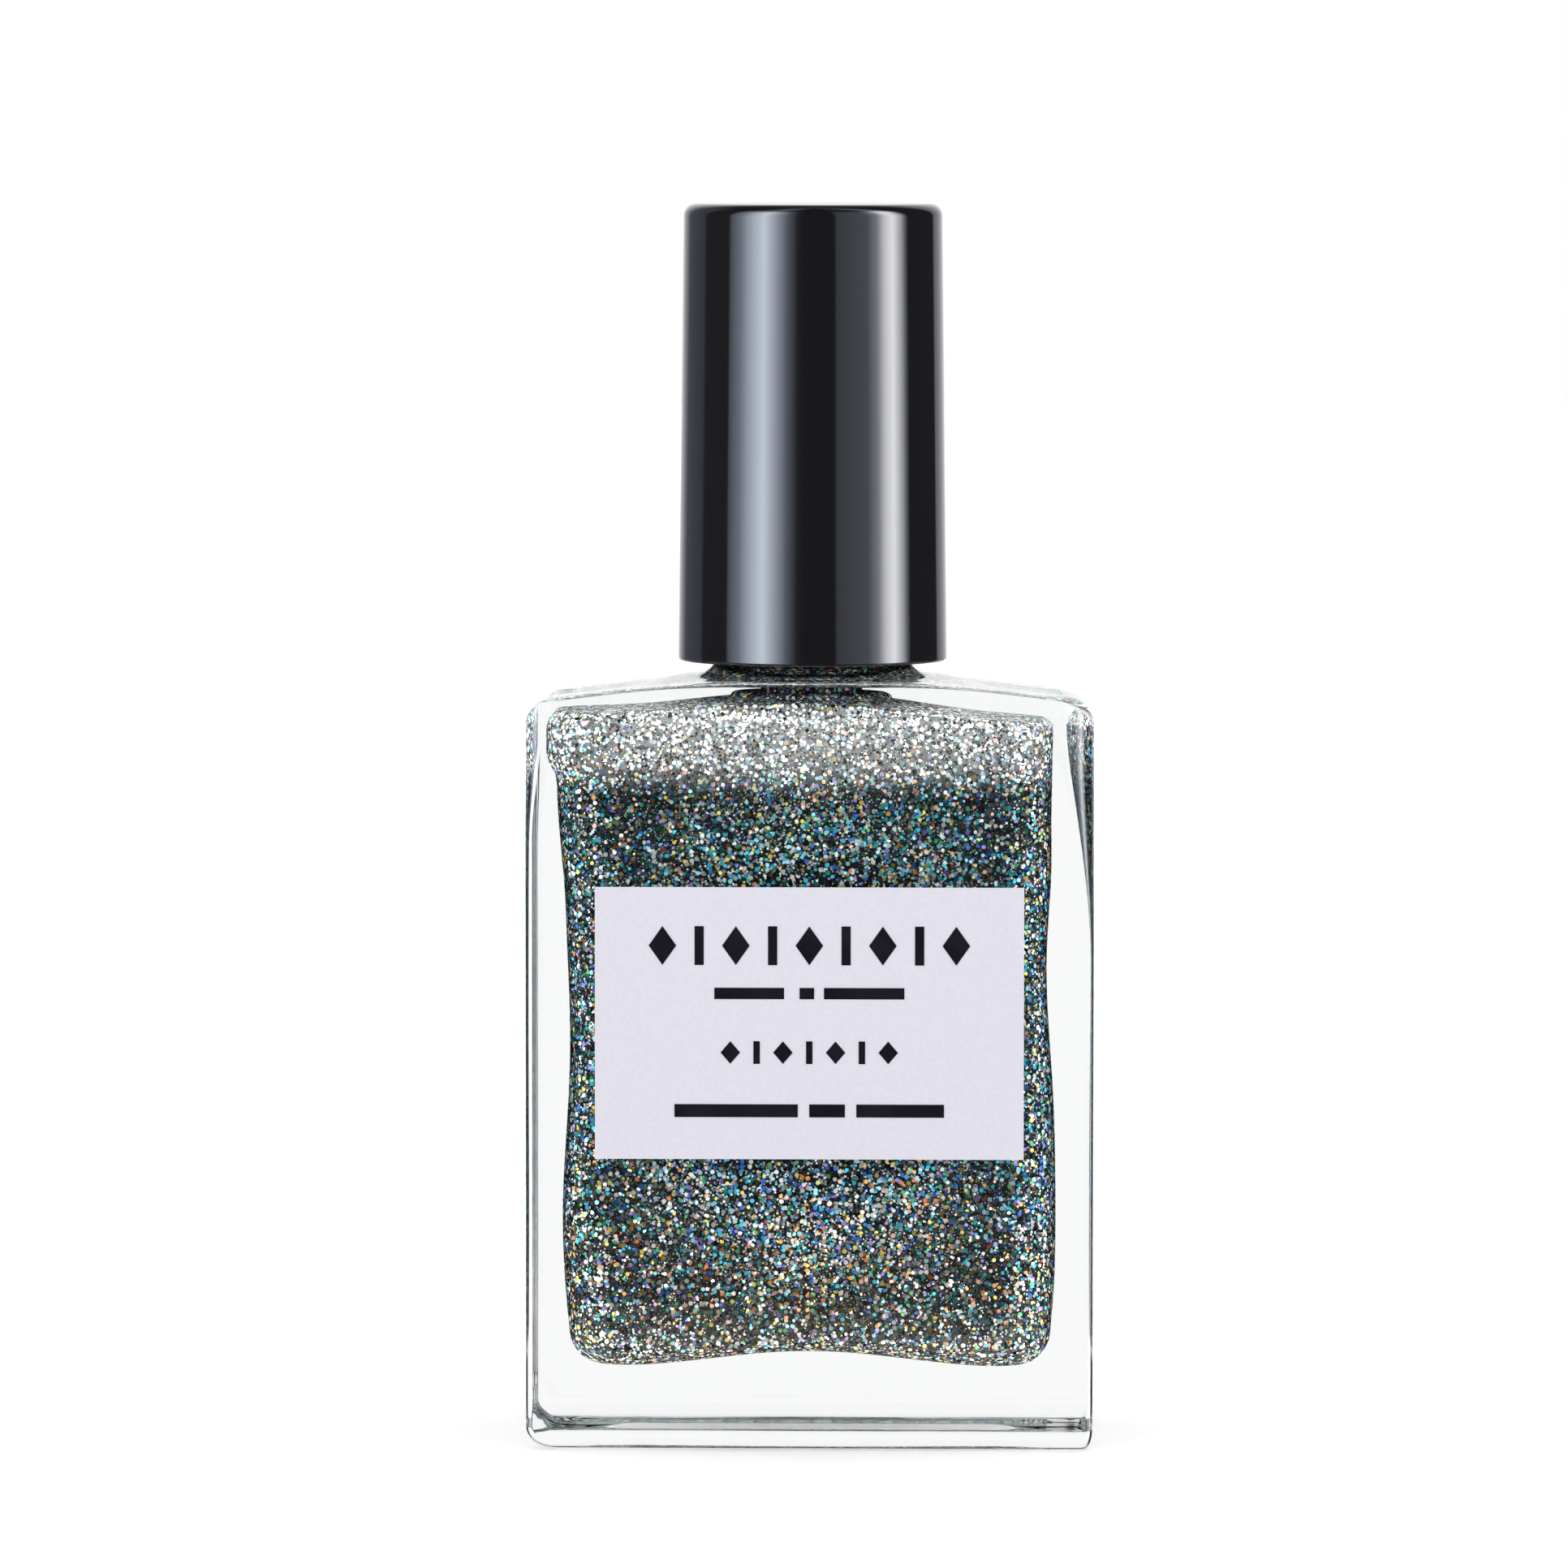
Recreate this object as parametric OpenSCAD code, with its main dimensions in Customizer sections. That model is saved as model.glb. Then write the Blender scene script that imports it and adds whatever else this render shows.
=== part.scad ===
// Nail polish bottle: a flat, thick-walled glass bottle of glitter lacquer, with a screw closure
// that carries the brush. Millimetres. +Z is up, the label faces -Y, and the origin is the centre
// of the base, on the surface that the bottle stands on.

/* [Bottle] */
// Width of the glass across the label
bottle_w = 35; // [34:0.5:38]
// Depth of the glass from front to back
bottle_d = 20; // [19:0.5:22]
// Height of the glass at the outer corners of the shoulder
shoulder_h = 46.3; // [45:0.1:50]
// Rise of the shoulder from its corners to the axis
shoulder_rise = 1.9; // [1.2:0.1:2.4]
// Radius of the upright edges
edge_r = 0.8; // [0.6:0.1:1.5]
// Radius of the shoulder's corners
shoulder_r = 1.5; // [1:0.1:2]
// Radius of the shoulder's front and back edges
face_edge_r = 0.5; // [0.4:0.1:1.5]
// Radius of the heel round the base
heel_r = 1.6; // [1:0.1:2]

/* [Cavity] */
// Thickness of the side walls where they are thinnest
side_wall = 2.25; // [2:0.05:3]
// Extra thickness of the side walls at the waist
waist_bulge = 0.6; // [0.3:0.1:1]
// Thickness of the front and back walls
face_wall = 3.3; // [2.8:0.1:4]
// Thickness of the glass floor at its thinnest
floor_t = 4.7; // [4:0.1:7]
// Rise of the cavity's domed floor
floor_dome = 1.1; // [0.4:0.1:1.2]
// Thickness of the glass over the cavity's corners
shoulder_wall = 1.8; // [1.6:0.1:2.4]

/* [Neck] */
// Outer radius of the neck between the threads
neck_r = 5.7; // [5.6:0.05:5.75]
// Height of the neck over the shoulder
neck_h = 11.6; // [11:0.1:12]
// Radius of the neck's bore
bore_r = 3.1; // [2.9:0.1:3.3]
// Outer radius of the neck's thread
thread_r = 6.45; // [6.35:0.05:6.45]
// Height that the thread climbs in one turn
thread_pitch = 2.117; // [2:0.001:2.2]
// Turns of thread
thread_turns = 1.5; // [1:0.25:1.75]

/* [Cap] */
// Outer radius of the cap at its rim
cap_r = 8.38; // [8.3:0.02:8.8]
// Outer radius lost to the taper by the cap's top
cap_taper = 0.33; // [0.1:0.01:0.4]
// Height of the cap
cap_h = 28.4; // [26:0.1:32]
// Thickness of the outer cap's wall
cap_wall = 0.8; // [0.7:0.05:0.85]
// Gap between the shoulder and the cap's rim
rim_gap = 1; // [0.8:0.1:1.2]
// Radius of the cap's top edge
cap_edge_r = 0.8; // [0.3:0.1:0.8]

/* [Brush] */
// Radius of the stem under its flange
stem_r = 1.7; // [1.5:0.1:1.8]
// Radius of the stem at its tip
stem_tip_r = 1.5; // [1.35:0.05:1.5]
// Height of the stem's tip over the base
stem_tip_h = 24; // [20:0.5:30]
// Height of the bristles' tips over the base
bristle_tip_h = 7.8; // [7.4:0.1:10]
// Largest radius of the bristle tuft
tuft_r = 2; // [1.6:0.1:2]

/* [Contents] */
// Height of the lacquer's surface over the base
fill_h = 49.5; // [47.5:0.1:52]
// Radius of the steel mixing balls
ball_r = 2; // [1.5:0.1:2]
// Distance of each mixing ball from the middle
ball_x = 12; // [11:0.1:12]

/* [Labels] */
// Width of the front label
label_w = 26.4; // [20:0.1:28]
// Height of the front label
label_h = 16.8; // [16:0.1:20]
// Height of the front label's middle over the base
label_z = 26.55; // [20:0.05:30]
// Thickness of the label paper
paper_t = 0.1; // [0.05:0.01:0.15]
// Thickness of the raised ink
ink_t = 0.03; // [0.02:0.01:0.05]

/* [Hidden] */
$fn = 96;

// Clearances
slip = 0.05;  // radial clearance of what turns or slides
film = 0.02;  // gap between the lacquer and what it wets
bite = 0.01;  // overlap of pieces pressed together
cut = 1;      // how far a cutting solid runs past the face that it opens

// Glass
neck_fillet = 1;
neck_foot_r = neck_r + neck_fillet;
neck_foot_z = shoulder_h + shoulder_rise * (1 - neck_foot_r / (bottle_w / 2 - shoulder_r));
lip_z = neck_foot_z + neck_h;
lip_round = 0.4;
face_lift = 0.9;         // the front and back edges of the shoulder stand this much higher than its ends
face_rise = 0.3;         // rise of the shoulder from those edges to the axis
thread_depth_embedded = 0.1;
thread_base_w = 1.5;
thread_crest_w = 0.5;
thread_step = 12;  // degrees between the rings of a thread
thread_fade = 3;   // rings over which a thread's end tapers away
thread_drop = 2.2; // from the lip to the top of the neck's thread

// Cavity
cavity_w = bottle_w - 2 * side_wall;
cavity_d = bottle_d - 2 * face_wall;
cavity_top = shoulder_h - shoulder_wall;
cavity_corner_r = 2;
cavity_edge_r = 3;
cavity_face_lift = 0.6;  // the same as face_lift, for the top of the cavity
cavity_face_rise = 0.95; // the same as face_rise, for the top of the cavity
throat_r = bore_r + 1.5;
throat_h = 1.5;
throat_gap = 0.6; // glass left between the throat's top and the foot of the neck
// Height of the cavity's top over the rim of the bore, where the throat must have met the cavity
bore_roof_z = cavity_top + cavity_face_lift
    + cavity_face_rise * (1 - bore_r / (cavity_d / 2 - cavity_corner_r));
throat_z = min(neck_foot_z - throat_h - throat_gap, bore_roof_z);
waist_span = 26;      // height over which the side walls thicken
waist_z = 27;         // height of the waist's middle
floor_dome_span = 22; // width of the domed part of the floor
wave_points = 24;     // steps along a waist or a dome

// Base
base_recess_w = 27;
base_recess_d = 13;
base_recess_h = 0.4;
base_label_w = 25;
base_label_d = 11;

// Cap
cap_z = neck_foot_z + rim_gap;
cap_top_z = cap_z + cap_h;
cap_roof = 1;
rim_round = 0.2;
washer_h = 1;
washer_r = neck_r - 0.1;
flange_h = 0.9;
flange_r = 5.4;
inner_roof_z = lip_z + slip + washer_h + slip + flange_h;  // underside of the inner cap's roof
inner_roof_t = 1.2;
skirt_top_z = inner_roof_z + inner_roof_t;
skirt_z = cap_z + 0.3;
skirt_crest_r = thread_r + slip;
skirt_bore_r = skirt_crest_r + 0.5;
tower_r = 4.6;
tower_wall = 0.8;
tower_top_z = cap_top_z - cap_roof - 0.3;
grip_ribs = 16;
grip_rib_w = 0.5;
tower_fins = 8;
tower_fin_w = 0.8;
spigot_r = 1.4;
spigot_h = 4;
boss_r = spigot_r + 1;

// Brush
stem_bore_r = 0.7;
socket_r = 1.2;
socket_h = 3.2;
staple_w = 2.7;
staple_h = 1.6;
staple_t = 0.25;
channel_gap = 0.4;  // the lacquer keeps this far from the brush

// Marks on the front label, measured from its middle
mark_rows = [
    // height over the middle, height of the marks, width of a mark, pitch, number of marks
    [4.8, 2.4, 1.7, 2.26, 9],
    [-1.8, 1.4, 1.2, 1.62, 7]
];
bar_rows = [
    // height over the middle, height of the bars, [start, length] of each bar
    [1.85, 0.7, [[-5.85, 4.3], [-0.6, 0.9], [0.9, 4.95]]],
    [-5.4, 0.8, [[-8.3, 7.6], [0, 2.2], [2.9, 5.4]]]
];

// Outer radius of the cap at a height
function cap_r_at(z) = cap_r - cap_taper * (z - cap_z) / cap_h;
// Inner radius of the outer cap at a height
function socket_r_at(z) = cap_r_at(z) - cap_wall;

// A rectangle with round corners, centred
module round_rect(w, d, r) {
    square([w - 2 * r, d], center = true);
    square([w, d - 2 * r], center = true);
    for (x = [-1, 1], y = [-1, 1]) translate([x * (w / 2 - r), y * (d / 2 - r)]) circle(r);
}

// An outline seen from the front or the side: a flat bottom with round corners, upright sides,
// and a roof that rises from round corners to the middle. The sides may draw in by waist, and the
// bottom may rise by dome, both in a smooth wave.
module roofed_outline(w, bottom, top, rise, low_r, high_r, waist = 0, dome = 0) {
    low_x = w / 2 - low_r;
    high_x = w / 2 - high_r;
    slope = atan(rise / high_x);
    eave = [high_x + high_r * sin(slope), top - high_r + high_r * cos(slope)];
    floor_line = [if (dome > 0) for (u = wave_steps) [u * floor_dome_span, bottom + dome * wave(u)]];
    side_line = [if (waist > 0) for (u = wave_steps) [w / 2 - waist * wave(u), waist_z + u * waist_span]];
    right = concat([[w / 2, bottom + low_r]], side_line, [[w / 2, top - high_r], eave]);
    left = [for (i = [len(right) - 1:-1:0]) [-right[i][0], right[i][1]]];
    polygon(concat(
        [[-low_x, bottom]], floor_line, [[low_x, bottom]],
        right, [[0, eave[1] + eave[0] * tan(slope)]], left
    ));
    for (side = [-1, 1]) {
        translate([side * low_x, bottom + low_r]) circle(low_r);
        translate([side * high_x, top - high_r]) circle(high_r);
    }
}

// A smooth hump over u from -0.5 to 0.5, with a height of 1 in the middle and level ends
wave_steps = [for (i = [0:wave_points]) i / wave_points - 0.5];
function wave(u) = (1 + cos(360 * u)) / 2;

// Stands an outline up facing -Y and gives it a depth
module upright(depth) {
    rotate([90, 0, 0]) translate([0, 0, -depth / 2]) linear_extrude(depth) children();
}

// The hollow of the bottle, drawn in by inset on every side and open to the height open_z
module cavity(inset, open_z) {
    w = cavity_w - 2 * inset;
    d = cavity_d - 2 * inset;
    bottom = floor_t + inset;
    top = cavity_top - inset;
    intersection() {
        upright(bottle_d) roofed_outline(
            w, bottom, top, shoulder_rise, cavity_corner_r, cavity_corner_r, waist_bulge, floor_dome
        );
        rotate([0, 0, 90]) upright(bottle_w)
            roofed_outline(d, bottom, top + cavity_face_lift, cavity_face_rise, cavity_corner_r, cavity_corner_r);
        linear_extrude(lip_z) round_rect(w, d, cavity_edge_r);
    }
    translate([0, 0, throat_z]) cylinder(h = throat_h, r1 = throat_r - inset, r2 = bore_r - inset);
    translate([0, 0, throat_z]) cylinder(h = open_z - throat_z, r = bore_r - inset);
}

// A helical ridge from radius root to radius crest, climbing from height start.
// The crest is outside the root on the neck, and inside it in the cap.
module thread_ridge(root, crest, start) {
    rings = round(thread_turns * 360 / thread_step);
    profile = [[0, -thread_base_w / 2], [1, -thread_crest_w / 2], [1, thread_crest_w / 2], [0, thread_base_w / 2]];
    sides = len(profile);
    outward = crest > root;
    function ring_points(i) = let (
        angle = i * thread_step,
        height = start + thread_pitch * angle / 360,
        full = min(1, (i + 0.3) / thread_fade, (rings - i + 0.3) / thread_fade)
    ) [for (p = profile) let (r = root + (crest - root) * p[0] * full)
        [r * cos(angle), r * sin(angle), height + p[1]]];
    points = [for (i = [0:rings]) each ring_points(i)];
    walls = [for (i = [0:rings - 1], k = [0:sides - 1]) let (
        a = i * sides + k,
        b = i * sides + (k + 1) % sides
    ) each [[a, b, b + sides], [a, b + sides, a + sides]]];
    last = rings * sides;
    ends = [[0, 3, 2], [0, 2, 1], [last, last + 1, last + 2], [last, last + 2, last + 3]];
    function turned(faces) = [for (f = faces) [f[0], f[2], f[1]]];
    faces = concat(walls, ends);
    polyhedron(points, outward ? faces : turned(faces));
}

module glass_bottle() {
    color([0.86, 0.93, 0.92, 0.45]) difference() {
        union() {
            intersection() {
                upright(bottle_d)
                    roofed_outline(bottle_w, 0, shoulder_h, shoulder_rise, heel_r, shoulder_r);
                rotate([0, 0, 90]) upright(bottle_w)
                    roofed_outline(bottle_d, 0, shoulder_h + face_lift, face_rise, heel_r, face_edge_r);
                linear_extrude(lip_z) round_rect(bottle_w, bottle_d, edge_r);
            }
            rotate_extrude() difference() {
                translate([0, shoulder_h - shoulder_r])
                    square([neck_foot_r, neck_foot_z + neck_fillet - shoulder_h + shoulder_r]);
                translate([neck_foot_r, neck_foot_z + neck_fillet]) circle(neck_fillet);
            }
            rotate_extrude() {
                translate([0, shoulder_h]) square([neck_r, lip_z - lip_round - shoulder_h]);
                translate([0, shoulder_h]) square([neck_r - lip_round, lip_z - shoulder_h]);
                translate([neck_r - lip_round, lip_z - lip_round]) circle(lip_round);
            }
            thread_ridge(
                neck_r - thread_depth_embedded, thread_r,
                lip_z - thread_drop - thread_turns * thread_pitch
            );
        }
        cavity(0, lip_z + cut);
        translate([0, 0, -cut]) linear_extrude(cut + base_recess_h)
            round_rect(base_recess_w, base_recess_d, cavity_edge_r);
    }
}

module lacquer() {
    color([0.36, 0.42, 0.42]) difference() {
        cavity(film, fill_h);
        translate([0, 0, bristle_tip_h - channel_gap])
            cylinder(h = lip_z, r = tuft_r + channel_gap);
        for (side = [-1, 1]) translate([side * ball_x, 0, ball_z()]) sphere(ball_r + film);
    }
}

// Height of a mixing ball's centre, resting on the floor beside the dome
function ball_z() = floor_t + film / 2 + ball_r;

module mixing_ball(side) {
    color([0.75, 0.76, 0.78]) translate([side * ball_x, 0, ball_z()]) sphere(ball_r);
}

module mixing_ball_left() {
    mixing_ball(-1);
}

module mixing_ball_right() {
    mixing_ball(1);
}

module front_label() {
    color([0.88, 0.87, 0.91])
        translate([-label_w / 2, -bottle_d / 2 - paper_t, label_z - label_h / 2])
            cube([label_w, paper_t, label_h]);
}

// Plain ornaments in rows: a line of lozenges and short strokes, and broken bars
module label_print() {
    color([0.08, 0.07, 0.1])
        translate([0, -bottle_d / 2 - paper_t, label_z]) rotate([90, 0, 0]) linear_extrude(ink_t) {
            for (row = mark_rows) {
                middle = (row[4] - 1) / 2;
                for (i = [0:row[4] - 1]) translate([(i - middle) * row[3], row[0]])
                    if (i % 2 == 0) lozenge(row[2], row[1]);
                    else square([row[2] / 3, row[1]], center = true);
            }
            for (row = bar_rows, bar = row[2])
                translate([bar[0], row[0] - row[1] / 2]) square([bar[1], row[1]]);
        }
}

module lozenge(w, h) {
    polygon([[0, -h / 2], [w / 2, 0], [0, h / 2], [-w / 2, 0]]);
}

module base_label() {
    color([0.92, 0.91, 0.9]) translate([0, 0, base_recess_h - paper_t]) linear_extrude(paper_t)
        round_rect(base_label_w, base_label_d, cavity_corner_r);
}

module seal_washer() {
    color([0.93, 0.93, 0.9]) translate([0, 0, lip_z + slip]) difference() {
        cylinder(h = washer_h, r = washer_r);
        translate([0, 0, -cut]) cylinder(h = washer_h + 2 * cut, r = stem_r + slip);
    }
}

module outer_cap() {
    edge_x = cap_r_at(cap_top_z) - cap_edge_r;
    rim_x = cap_r - rim_round;
    socket_top = cap_top_z - cap_roof;
    color([0.1, 0.1, 0.12]) rotate_extrude() difference() {
        union() {
            polygon([
                [0, cap_z], [rim_x, cap_z], [cap_r, cap_z + rim_round],
                [cap_r_at(cap_top_z - cap_edge_r), cap_top_z - cap_edge_r], [edge_x, cap_top_z], [0, cap_top_z]
            ]);
            translate([rim_x, cap_z + rim_round]) circle(rim_round);
            translate([edge_x, cap_top_z - cap_edge_r]) circle(cap_edge_r);
        }
        polygon([
            [0, cap_z - cut], [socket_r_at(cap_z - cut), cap_z - cut],
            [socket_r_at(socket_top), socket_top], [0, socket_top]
        ]);
    }
}

module inner_cap() {
    color([0.16, 0.16, 0.18]) {
        difference() {
            union() {
                translate([0, 0, skirt_z]) cylinder(
                    h = skirt_top_z - skirt_z,
                    r1 = socket_r_at(skirt_z) - slip, r2 = socket_r_at(skirt_top_z) - slip
                );
                intersection() {
                    for (i = [0:grip_ribs - 1]) rotate([0, 0, i * 360 / grip_ribs])
                        translate([skirt_bore_r + slip, -grip_rib_w / 2, skirt_z + 1])
                            cube([cap_r, grip_rib_w, skirt_top_z - skirt_z - 2]);
                    pressed_cone();
                }
            }
            translate([0, 0, skirt_z - cut]) cylinder(h = inner_roof_z - skirt_z + cut, r = skirt_bore_r);
            translate([0, 0, skirt_z]) cylinder(h = inner_roof_z + spigot_h - skirt_z, r = spigot_r);
        }
        difference() {
            translate([0, 0, skirt_top_z - bite]) cylinder(h = spigot_h, r = boss_r);
            translate([0, 0, skirt_z]) cylinder(h = inner_roof_z + spigot_h - skirt_z, r = spigot_r);
        }
        thread_ridge(
            skirt_bore_r + thread_depth_embedded, skirt_crest_r,
            lip_z - thread_drop - thread_turns * thread_pitch - thread_pitch / 2
        );
    }
}

// Finned tube that stands on the inner cap and holds the overcap straight
module cap_tower() {
    color([0.22, 0.22, 0.24]) difference() {
        union() {
            translate([0, 0, skirt_top_z]) cylinder(h = tower_top_z - skirt_top_z, r = tower_r);
            intersection() {
                for (i = [0:tower_fins - 1]) rotate([0, 0, i * 360 / tower_fins])
                    translate([tower_r - tower_wall / 2, -tower_fin_w / 2, skirt_top_z])
                        cube([cap_r, tower_fin_w, tower_top_z - skirt_top_z - 2]);
                pressed_cone();
            }
        }
        translate([0, 0, skirt_z]) cylinder(h = cap_h, r = tower_r - tower_wall);
    }
}

// The overcap's tapered inside and the bite of a press fit
module pressed_cone() {
    translate([0, 0, skirt_z]) cylinder(
        h = cap_h, r1 = socket_r_at(skirt_z) + bite, r2 = socket_r_at(skirt_z + cap_h) + bite
    );
}

module brush_stem() {
    flange_z = inner_roof_z - flange_h;
    color([0.86, 0.86, 0.88]) difference() {
        union() {
            translate([0, 0, stem_tip_h]) cylinder(h = flange_z - stem_tip_h, r1 = stem_tip_r, r2 = stem_r);
            translate([0, 0, flange_z]) cylinder(h = flange_h, r = flange_r);
            translate([0, 0, flange_z]) cylinder(h = flange_h + spigot_h - 0.2, r = spigot_r);
        }
        translate([0, 0, stem_tip_h - cut]) cylinder(h = socket_h + cut, r = socket_r);
        translate([0, 0, stem_tip_h + socket_h + 1]) cylinder(h = cap_h + cap_z, r = stem_bore_r);
        staple_solid();
    }
}

// Tuft of filaments: gathered in the stem's socket, spreading below it, rounded at the tips
module bristle_tuft() {
    belly_z = bristle_tip_h + 0.45 * (stem_tip_h - bristle_tip_h);
    tip_r = 0.6 * tuft_r;
    color([0.15, 0.14, 0.15]) difference() {
        union() {
            translate([0, 0, stem_tip_h]) cylinder(h = socket_h - staple_h, r = socket_r);
            translate([0, 0, belly_z]) cylinder(h = stem_tip_h - belly_z, r1 = tuft_r, r2 = socket_r);
            translate([0, 0, bristle_tip_h + tip_r])
                cylinder(h = belly_z - bristle_tip_h - tip_r, r1 = 0.9 * tuft_r, r2 = tuft_r);
            translate([0, 0, bristle_tip_h]) cylinder(h = tip_r, r1 = tip_r, r2 = 0.9 * tuft_r);
        }
        staple_solid();
    }
}

// Flat metal anchor that holds the folded filaments at the top of the socket
module staple_solid() {
    translate([-staple_w / 2, -staple_t / 2, stem_tip_h + socket_h - staple_h])
        cube([staple_w, staple_t, staple_h]);
}

module bristle_staple() {
    color([0.78, 0.66, 0.38]) staple_solid();
}

glass_bottle();
lacquer();
mixing_ball_left();
mixing_ball_right();
front_label();
label_print();
base_label();
seal_washer();
outer_cap();
inner_cap();
cap_tower();
brush_stem();
bristle_tuft();
bristle_staple();
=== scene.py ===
"""Looks of the nail polish bottle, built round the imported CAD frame.

Everything is in metres in the CAD frame: +Z is up, the label faces -Y, the origin is the centre of the base.
Round and boxy shapes are lofted from rings of points. Sizes come from the CAD nodes' boxes and from the
dimensions that are named below.
"""

import math

import bmesh
import bpy
import numpy as np
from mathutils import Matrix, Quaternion, Vector


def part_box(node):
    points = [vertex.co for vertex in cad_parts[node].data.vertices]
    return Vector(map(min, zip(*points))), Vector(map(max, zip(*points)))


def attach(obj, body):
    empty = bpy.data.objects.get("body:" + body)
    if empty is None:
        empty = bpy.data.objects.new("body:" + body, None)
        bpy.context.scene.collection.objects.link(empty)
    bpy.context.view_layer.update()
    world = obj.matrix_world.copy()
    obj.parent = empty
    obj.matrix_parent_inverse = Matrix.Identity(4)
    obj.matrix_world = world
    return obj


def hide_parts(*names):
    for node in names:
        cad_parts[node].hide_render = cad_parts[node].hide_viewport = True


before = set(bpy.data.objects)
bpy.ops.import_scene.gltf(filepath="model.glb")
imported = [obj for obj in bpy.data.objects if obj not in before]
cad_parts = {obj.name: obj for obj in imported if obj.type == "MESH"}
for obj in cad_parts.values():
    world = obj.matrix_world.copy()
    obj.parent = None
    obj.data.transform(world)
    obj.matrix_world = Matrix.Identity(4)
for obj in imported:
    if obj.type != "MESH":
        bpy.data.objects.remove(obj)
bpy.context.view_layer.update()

MM = 0.001
rng = np.random.default_rng(20)

# ---------------------------------------------------------------- sizes

GLASS_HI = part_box("glass_bottle")[1]
LACQUER_LO, LACQUER_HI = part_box("lacquer")
CAP_LO, CAP_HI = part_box("outer_cap")
STEM_LO, STEM_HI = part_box("brush_stem")
TUFT_LO, TUFT_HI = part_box("bristle_tuft")
BASE_LABEL_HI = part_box("base_label")[1]

HALF_W = GLASS_HI.x
HALF_D = GLASS_HI.y
LIP_Z = GLASS_HI.z
CAVITY_HALF_W = LACQUER_HI.x
CAVITY_HALF_D = LACQUER_HI.y
FLOOR_Z = LACQUER_LO.z
FILL_Z = LACQUER_HI.z

# The neck and its thread
NECK_H = 11.6 * MM
NECK_FOOT_Z = LIP_Z - NECK_H
NECK_R = 5.7 * MM
NECK_FILLET = 2.0 * MM
NECK_FOOT_R = NECK_R + NECK_FILLET
BORE_R = 3.1 * MM
LIP_ROUND = 0.4 * MM
LIP_INNER_ROUND = 0.3 * MM
THREAD_R = 6.45 * MM
THREAD_PITCH = 2.117 * MM
THREAD_TURNS = 1.5
THREAD_START = LIP_Z - 2.2 * MM - THREAD_TURNS * THREAD_PITCH
THREAD_STEP = 0.09 * MM  # height between the rings that draw the thread

# The outside of the body
HEEL_R = 1.5 * MM
EDGE_R = 0.45 * MM
RIGHT_EDGE_GROWTH = (1.7 * MM, 30 * MM, 44 * MM)  # how much the edge widens, and between which heights
LEFT_EDGE_GROWTH = (0.5 * MM, 37 * MM, 43 * MM)
SHOULDER_Z = 45.0 * MM
SHOULDER_R = 1.5 * MM
FACE_EDGE_R = 0.22 * MM
CORNER_SOFTENING = 0.3 * MM  # how much the corners widen over the shoulder's rounding
ROOF_R = 6.7 * MM  # the shoulder's slopes start at this distance from the axis

# The recess in the base
RECESS_MARGIN = 0.1 * MM
RECESS_CORNER_R = 2.2 * MM
RECESS_RAMP = 2.8 * MM
LABEL_SEAT = 0.05 * MM  # the base label's top is set this deep in the glass

# The hollow
CAVITY_CORNER_Z = NECK_FOOT_Z - 2.4 * MM
CAVITY_EDGE_R = 3.0 * MM
CAVITY_CORNER_R = 2.2 * MM
CAVITY_EAVE_R = 0.7 * MM
CEILING_RISE = 1.6  # in millimetres
CEILING_SPREAD = 10.0 * MM
FLOOR_DOME = 1.1 * MM
FLOOR_DOME_SPREAD = 8.0 * MM
THROAT_R = 5.0 * MM
THROAT_STEP = 0.16 * MM  # height between the rings of the throat
WET = 0.03 * MM  # the lacquer's skin lies this far inside the glass, so that no air gap shows between them

# The glitter flakes. Radii and depth are in millimetres.
FLAKE_RADII = [0.08, 0.105, 0.13]
FLAKE_RADIUS_SHARES = [0.25, 0.35, 0.4]
FLAKE_DEPTH = 0.008  # how far they lie out from the lacquer's skin, at most
FLAKE_TILT = 0.05
FLAKE_PEAK = 0.006 * MM

# Eased edges of the CAD nodes that stay
PAPER_BEVEL = 0.02 * MM
PLASTIC_BEVEL = 0.06 * MM
SEAL_BEVEL = 0.1 * MM


# ---------------------------------------------------------------- meshes

def curve(x, *points):
    """Straight lines between given (x, y) points."""
    xs, ys = zip(*points)
    return np.interp(x, xs, ys)


def smooth(x, low=0.0, high=1.0):
    t = np.clip((x - low) / (high - low), 0, 1)
    return t * t * (3 - 2 * t)


def hump(x, centre, spread):
    return np.exp(-(((x - centre) / spread) ** 2))


def arc(centre, radius, start, end, steps):
    """Points (r, z) along an arc, from one angle to another in degrees."""
    a = np.radians(np.linspace(start, end, steps))
    return [(centre[0] + radius * c, centre[1] + radius * s) for c, s in zip(np.cos(a), np.sin(a))]


# Points along each face, each end and each corner of a perimeter
LONG_STEPS, SHORT_STEPS, CORNER_STEPS = 56, 28, 10


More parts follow.
